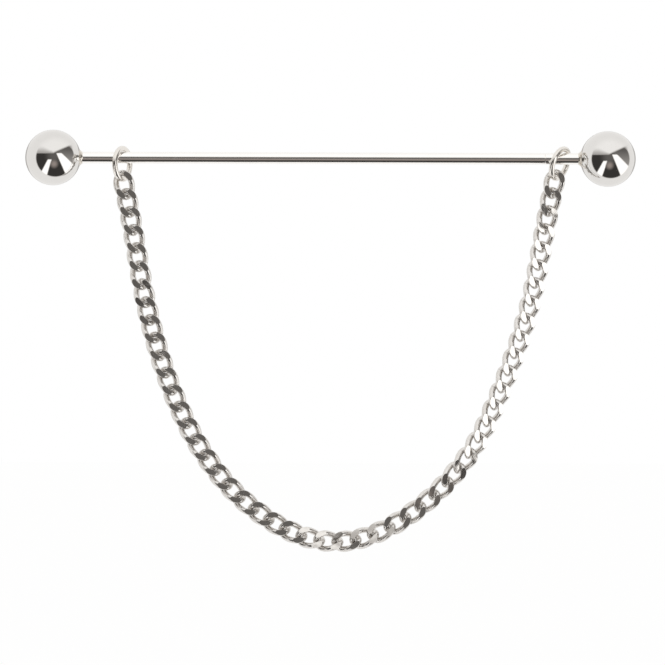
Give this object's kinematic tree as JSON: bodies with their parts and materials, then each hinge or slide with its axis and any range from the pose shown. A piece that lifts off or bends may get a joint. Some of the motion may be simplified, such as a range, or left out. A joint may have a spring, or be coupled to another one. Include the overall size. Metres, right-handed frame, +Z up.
{
  "type": "collar bar",
  "caption": "Slim collar bar with a round ball at each end, one of which unscrews, and a curb chain that hangs from rings on the bar in a deep loop.",
  "frame": {"origin": "middle of the bar, on the bar's own line, halfway between the two balls", "axes": "+X along the bar towards the ball that unscrews, +Z up, and the chain hangs towards -Z in the XZ plane"},
  "size_m": [0.066, 0.006, 0.0456],
  "materials": {
    "bar_metal": "polished rhodium-toned plate",
    "ball_metal": "mirror-polished rhodium-toned plate",
    "ring_metal": "polished rhodium-toned plate",
    "chain_metal": "polished rhodium-toned plate with cut faces"
  },
  "bodies": {
    "bar_end": {"bar": "bar_metal", "ball_left": "ball_metal"},
    "screw_end": {"screw_stem": "bar_metal", "ball_right": "ball_metal"},
    "rings": {"ring_left": "ring_metal", "ring_right": "ring_metal"},
    "link_01": {"link_01": "chain_metal"},
    "link_02": {"link_02": "chain_metal"},
    "link_03": {"link_03": "chain_metal"},
    "link_04": {"link_04": "chain_metal"},
    "link_05": {"link_05": "chain_metal"},
    "link_06": {"link_06": "chain_metal"},
    "link_07": {"link_07": "chain_metal"},
    "link_08": {"link_08": "chain_metal"},
    "link_09": {"link_09": "chain_metal"},
    "link_10": {"link_10": "chain_metal"},
    "link_11": {"link_11": "chain_metal"},
    "link_12": {"link_12": "chain_metal"},
    "link_13": {"link_13": "chain_metal"},
    "link_14": {"link_14": "chain_metal"},
    "link_15": {"link_15": "chain_metal"},
    "link_16": {"link_16": "chain_metal"},
    "link_17": {"link_17": "chain_metal"},
    "link_18": {"link_18": "chain_metal"},
    "link_19": {"link_19": "chain_metal"},
    "link_20": {"link_20": "chain_metal"},
    "link_21": {"link_21": "chain_metal"},
    "link_22": {"link_22": "chain_metal"},
    "link_23": {"link_23": "chain_metal"},
    "link_24": {"link_24": "chain_metal"},
    "link_25": {"link_25": "chain_metal"},
    "link_26": {"link_26": "chain_metal"},
    "link_27": {"link_27": "chain_metal"},
    "link_28": {"link_28": "chain_metal"},
    "link_29": {"link_29": "chain_metal"},
    "link_30": {"link_30": "chain_metal"},
    "link_31": {"link_31": "chain_metal"},
    "link_32": {"link_32": "chain_metal"},
    "link_33": {"link_33": "chain_metal"},
    "link_34": {"link_34": "chain_metal"},
    "link_35": {"link_35": "chain_metal"},
    "link_36": {"link_36": "chain_metal"},
    "link_37": {"link_37": "chain_metal"},
    "link_38": {"link_38": "chain_metal"},
    "link_39": {"link_39": "chain_metal"},
    "link_40": {"link_40": "chain_metal"},
    "link_41": {"link_41": "chain_metal"},
    "link_42": {"link_42": "chain_metal"},
    "link_43": {"link_43": "chain_metal"},
    "link_44": {"link_44": "chain_metal"},
    "link_45": {"link_45": "chain_metal"},
    "link_46": {"link_46": "chain_metal"},
    "link_47": {"link_47": "chain_metal"},
    "link_48": {"link_48": "chain_metal"},
    "link_49": {"link_49": "chain_metal"},
    "link_50": {"link_50": "chain_metal"}
  },
  "joints": [
    {"name": "screw_turn", "type": "hinge", "parent": "bar_end", "child": "screw_end", "pos_m": [0.0232, 0, 0], "axis": [1, 0, 0], "range_deg": [0, 4680]},
    {"name": "rings_swing", "type": "hinge", "parent": "bar_end", "child": "rings", "pos_m": [0, 0, 0], "axis": [1, 0, 0], "continuous": true},
    {"name": "link_01_swing", "type": "hinge", "parent": "rings", "child": "link_01", "pos_m": [-0.0225, 0, -0.00199], "axis": [1, 0, 0.0048], "range_deg": [-8, 8]},
    {"name": "link_02_swing", "type": "hinge", "parent": "link_01", "child": "link_02", "pos_m": [-0.02209, 0, -0.00393], "axis": [1, 0, 0.0049], "range_deg": [-8, 8]},
    {"name": "link_03_swing", "type": "hinge", "parent": "link_02", "child": "link_03", "pos_m": [-0.0217, 0, -0.00587], "axis": [1, 0, 0.0049], "range_deg": [-8, 8]},
    {"name": "link_04_swing", "type": "hinge", "parent": "link_03", "child": "link_04", "pos_m": [-0.02134, 0, -0.00782], "axis": [1, 0, 0.005], "range_deg": [-8, 8]},
    {"name": "link_05_swing", "type": "hinge", "parent": "link_04", "child": "link_05", "pos_m": [-0.02099, 0, -0.00976], "axis": [1, 0, 0.0052], "range_deg": [-8, 8]},
    {"name": "link_06_swing", "type": "hinge", "parent": "link_05", "child": "link_06", "pos_m": [-0.02067, 0, -0.01172], "axis": [1, 0, 0.0053], "range_deg": [-8, 8]},
    {"name": "link_07_swing", "type": "hinge", "parent": "link_06", "child": "link_07", "pos_m": [-0.02033, 0, -0.01367], "axis": [1, 0, 0.0055], "range_deg": [-8, 8]},
    {"name": "link_08_swing", "type": "hinge", "parent": "link_07", "child": "link_08", "pos_m": [-0.01993, 0, -0.01561], "axis": [1, 0, 0.0058], "range_deg": [-8, 8]},
    {"name": "link_09_swing", "type": "hinge", "parent": "link_08", "child": "link_09", "pos_m": [-0.01948, 0, -0.01754], "axis": [1, 0, 0.0063], "range_deg": [-8, 8]},
    {"name": "link_10_swing", "type": "hinge", "parent": "link_09", "child": "link_10", "pos_m": [-0.01897, 0, -0.01945], "axis": [1, 0, 0.0069], "range_deg": [-8, 8]},
    {"name": "link_11_swing", "type": "hinge", "parent": "link_10", "child": "link_11", "pos_m": [-0.01841, 0, -0.02135], "axis": [1, 0, 0.0077], "range_deg": [-8, 8]},
    {"name": "link_12_swing", "type": "hinge", "parent": "link_11", "child": "link_12", "pos_m": [-0.01779, 0, -0.02323], "axis": [1, 0, 0.0085], "range_deg": [-8, 8]},
    {"name": "link_13_swing", "type": "hinge", "parent": "link_12", "child": "link_13", "pos_m": [-0.01709, 0, -0.02508], "axis": [1, 0, 0.0091], "range_deg": [-8, 8]},
    {"name": "link_14_swing", "type": "hinge", "parent": "link_13", "child": "link_14", "pos_m": [-0.01633, 0, -0.02691], "axis": [1, 0, 0.0093], "range_deg": [-8, 8]},
    {"name": "link_15_swing", "type": "hinge", "parent": "link_14", "child": "link_15", "pos_m": [-0.0155, 0, -0.02871], "axis": [1, 0, 0.0091], "range_deg": [-8, 8]},
    {"name": "link_16_swing", "type": "hinge", "parent": "link_15", "child": "link_16", "pos_m": [-0.01456, 0, -0.03045], "axis": [1, 0, 0.009], "range_deg": [-8, 8]},
    {"name": "link_17_swing", "type": "hinge", "parent": "link_16", "child": "link_17", "pos_m": [-0.01351, 0, -0.03213], "axis": [1, 0, 0.0093], "range_deg": [-8, 8]},
    {"name": "link_18_swing", "type": "hinge", "parent": "link_17", "child": "link_18", "pos_m": [-0.01236, 0, -0.03374], "axis": [0.9999, 0, 0.0102], "range_deg": [-8, 8]},
    {"name": "link_19_swing", "type": "hinge", "parent": "link_18", "child": "link_19", "pos_m": [-0.0111, 0, -0.03527], "axis": [0.9999, 0, 0.0122], "range_deg": [-8, 8]},
    {"name": "link_20_swing", "type": "hinge", "parent": "link_19", "child": "link_20", "pos_m": [-0.00971, 0, -0.03668], "axis": [0.9999, 0, 0.0139], "range_deg": [-8, 8]},
    {"name": "link_21_swing", "type": "hinge", "parent": "link_20", "child": "link_21", "pos_m": [-0.0082, 0, -0.03795], "axis": [0.9999, 0, 0.0152], "range_deg": [-8, 8]},
    {"name": "link_22_swing", "type": "hinge", "parent": "link_21", "child": "link_22", "pos_m": [-0.00658, 0, -0.03909], "axis": [0.9999, 0, 0.0166], "range_deg": [-8, 8]},
    {"name": "link_23_swing", "type": "hinge", "parent": "link_22", "child": "link_23", "pos_m": [-0.00486, 0, -0.04008], "axis": [0.9998, 0, 0.0191], "range_deg": [-8, 8]},
    {"name": "link_24_swing", "type": "hinge", "parent": "link_23", "child": "link_24", "pos_m": [-0.00304, 0, -0.04086], "axis": [0.9998, 0, 0.0206], "range_deg": [-8, 8]},
    {"name": "link_25_swing", "type": "hinge", "parent": "link_24", "child": "link_25", "pos_m": [-0.00112, 0, -0.04133], "axis": [0.9999, 0, 0.0105], "range_deg": [-8, 8]},
    {"name": "link_50_swing", "type": "hinge", "parent": "rings", "child": "link_50", "pos_m": [0.02436, 0, -0.00176], "axis": [1, 0, 0.0048], "range_deg": [-8, 8]},
    {"name": "link_49_swing", "type": "hinge", "parent": "link_50", "child": "link_49", "pos_m": [0.02396, 0, -0.0037], "axis": [1, 0, 0.0049], "range_deg": [-8, 8]},
    {"name": "link_48_swing", "type": "hinge", "parent": "link_49", "child": "link_48", "pos_m": [0.02358, 0, -0.00565], "axis": [1, 0, 0.0049], "range_deg": [-8, 8]},
    {"name": "link_47_swing", "type": "hinge", "parent": "link_48", "child": "link_47", "pos_m": [0.02321, 0, -0.00759], "axis": [1, 0, 0.005], "range_deg": [-8, 8]},
    {"name": "link_46_swing", "type": "hinge", "parent": "link_47", "child": "link_46", "pos_m": [0.02285, 0, -0.00954], "axis": [1, 0, 0.0052], "range_deg": [-8, 8]},
    {"name": "link_45_swing", "type": "hinge", "parent": "link_46", "child": "link_45", "pos_m": [0.02251, 0, -0.01149], "axis": [1, 0, 0.0053], "range_deg": [-8, 8]},
    {"name": "link_44_swing", "type": "hinge", "parent": "link_45", "child": "link_44", "pos_m": [0.02214, 0, -0.01343], "axis": [1, 0, 0.0055], "range_deg": [-8, 8]},
    {"name": "link_43_swing", "type": "hinge", "parent": "link_44", "child": "link_43", "pos_m": [0.0217, 0, -0.01536], "axis": [1, 0, 0.0058], "range_deg": [-8, 8]},
    {"name": "link_42_swing", "type": "hinge", "parent": "link_43", "child": "link_42", "pos_m": [0.0212, 0, -0.01728], "axis": [1, 0, 0.0063], "range_deg": [-8, 8]},
    {"name": "link_41_swing", "type": "hinge", "parent": "link_42", "child": "link_41", "pos_m": [0.02063, 0, -0.01918], "axis": [1, 0, 0.0069], "range_deg": [-8, 8]},
    {"name": "link_40_swing", "type": "hinge", "parent": "link_41", "child": "link_40", "pos_m": [0.02, 0, -0.02105], "axis": [1, 0, 0.0077], "range_deg": [-8, 8]},
    {"name": "link_39_swing", "type": "hinge", "parent": "link_40", "child": "link_39", "pos_m": [0.01932, 0, -0.02291], "axis": [1, 0, 0.0085], "range_deg": [-8, 8]},
    {"name": "link_38_swing", "type": "hinge", "parent": "link_39", "child": "link_38", "pos_m": [0.0186, 0, -0.02476], "axis": [1, 0, 0.0091], "range_deg": [-8, 8]},
    {"name": "link_37_swing", "type": "hinge", "parent": "link_38", "child": "link_37", "pos_m": [0.01786, 0, -0.02659], "axis": [1, 0, 0.0093], "range_deg": [-8, 8]},
    {"name": "link_36_swing", "type": "hinge", "parent": "link_37", "child": "link_36", "pos_m": [0.01707, 0, -0.02841], "axis": [1, 0, 0.0091], "range_deg": [-8, 8]},
    {"name": "link_35_swing", "type": "hinge", "parent": "link_36", "child": "link_35", "pos_m": [0.01618, 0, -0.03018], "axis": [1, 0, 0.009], "range_deg": [-8, 8]},
    {"name": "link_34_swing", "type": "hinge", "parent": "link_35", "child": "link_34", "pos_m": [0.01515, 0, -0.03187], "axis": [1, 0, 0.0093], "range_deg": [-8, 8]},
    {"name": "link_33_swing", "type": "hinge", "parent": "link_34", "child": "link_33", "pos_m": [0.01399, 0, -0.03347], "axis": [0.9999, 0, 0.0102], "range_deg": [-8, 8]},
    {"name": "link_32_swing", "type": "hinge", "parent": "link_33", "child": "link_32", "pos_m": [0.0127, 0, -0.03498], "axis": [0.9999, 0, 0.0122], "range_deg": [-8, 8]},
    {"name": "link_31_swing", "type": "hinge", "parent": "link_32", "child": "link_31", "pos_m": [0.01131, 0, -0.03638], "axis": [0.9999, 0, 0.0139], "range_deg": [-8, 8]},
    {"name": "link_30_swing", "type": "hinge", "parent": "link_31", "child": "link_30", "pos_m": [0.00981, 0, -0.03768], "axis": [0.9999, 0, 0.0152], "range_deg": [-8, 8]},
    {"name": "link_29_swing", "type": "hinge", "parent": "link_30", "child": "link_29", "pos_m": [0.00821, 0, -0.03885], "axis": [0.9999, 0, 0.0166], "range_deg": [-8, 8]},
    {"name": "link_28_swing", "type": "hinge", "parent": "link_29", "child": "link_28", "pos_m": [0.00651, 0, -0.03987], "axis": [0.9998, 0, 0.0191], "range_deg": [-8, 8]},
    {"name": "link_27_swing", "type": "hinge", "parent": "link_28", "child": "link_27", "pos_m": [0.00472, 0, -0.0407], "axis": [0.9998, 0, 0.0206], "range_deg": [-8, 8]},
    {"name": "link_26_swing", "type": "hinge", "parent": "link_27", "child": "link_26", "pos_m": [0.00283, 0, -0.04129], "axis": [0.9999, 0, 0.0105], "range_deg": [-8, 8]}
  ],
  "couplings": [
    {"joint": "link_50_swing", "follows": "link_01_swing", "ratio": 1},
    {"joint": "link_49_swing", "follows": "link_02_swing", "ratio": 1},
    {"joint": "link_48_swing", "follows": "link_03_swing", "ratio": 1},
    {"joint": "link_47_swing", "follows": "link_04_swing", "ratio": 1},
    {"joint": "link_46_swing", "follows": "link_05_swing", "ratio": 1},
    {"joint": "link_45_swing", "follows": "link_06_swing", "ratio": 1},
    {"joint": "link_44_swing", "follows": "link_07_swing", "ratio": 1},
    {"joint": "link_43_swing", "follows": "link_08_swing", "ratio": 1},
    {"joint": "link_42_swing", "follows": "link_09_swing", "ratio": 1},
    {"joint": "link_41_swing", "follows": "link_10_swing", "ratio": 1},
    {"joint": "link_40_swing", "follows": "link_11_swing", "ratio": 1},
    {"joint": "link_39_swing", "follows": "link_12_swing", "ratio": 1},
    {"joint": "link_38_swing", "follows": "link_13_swing", "ratio": 1},
    {"joint": "link_37_swing", "follows": "link_14_swing", "ratio": 1},
    {"joint": "link_36_swing", "follows": "link_15_swing", "ratio": 1},
    {"joint": "link_35_swing", "follows": "link_16_swing", "ratio": 1},
    {"joint": "link_34_swing", "follows": "link_17_swing", "ratio": 1},
    {"joint": "link_33_swing", "follows": "link_18_swing", "ratio": 1},
    {"joint": "link_32_swing", "follows": "link_19_swing", "ratio": 1},
    {"joint": "link_31_swing", "follows": "link_20_swing", "ratio": 1},
    {"joint": "link_30_swing", "follows": "link_21_swing", "ratio": 1},
    {"joint": "link_29_swing", "follows": "link_22_swing", "ratio": 1},
    {"joint": "link_28_swing", "follows": "link_23_swing", "ratio": 1},
    {"joint": "link_27_swing", "follows": "link_24_swing", "ratio": 1},
    {"joint": "link_26_swing", "follows": "link_25_swing", "ratio": 1}
  ]
}
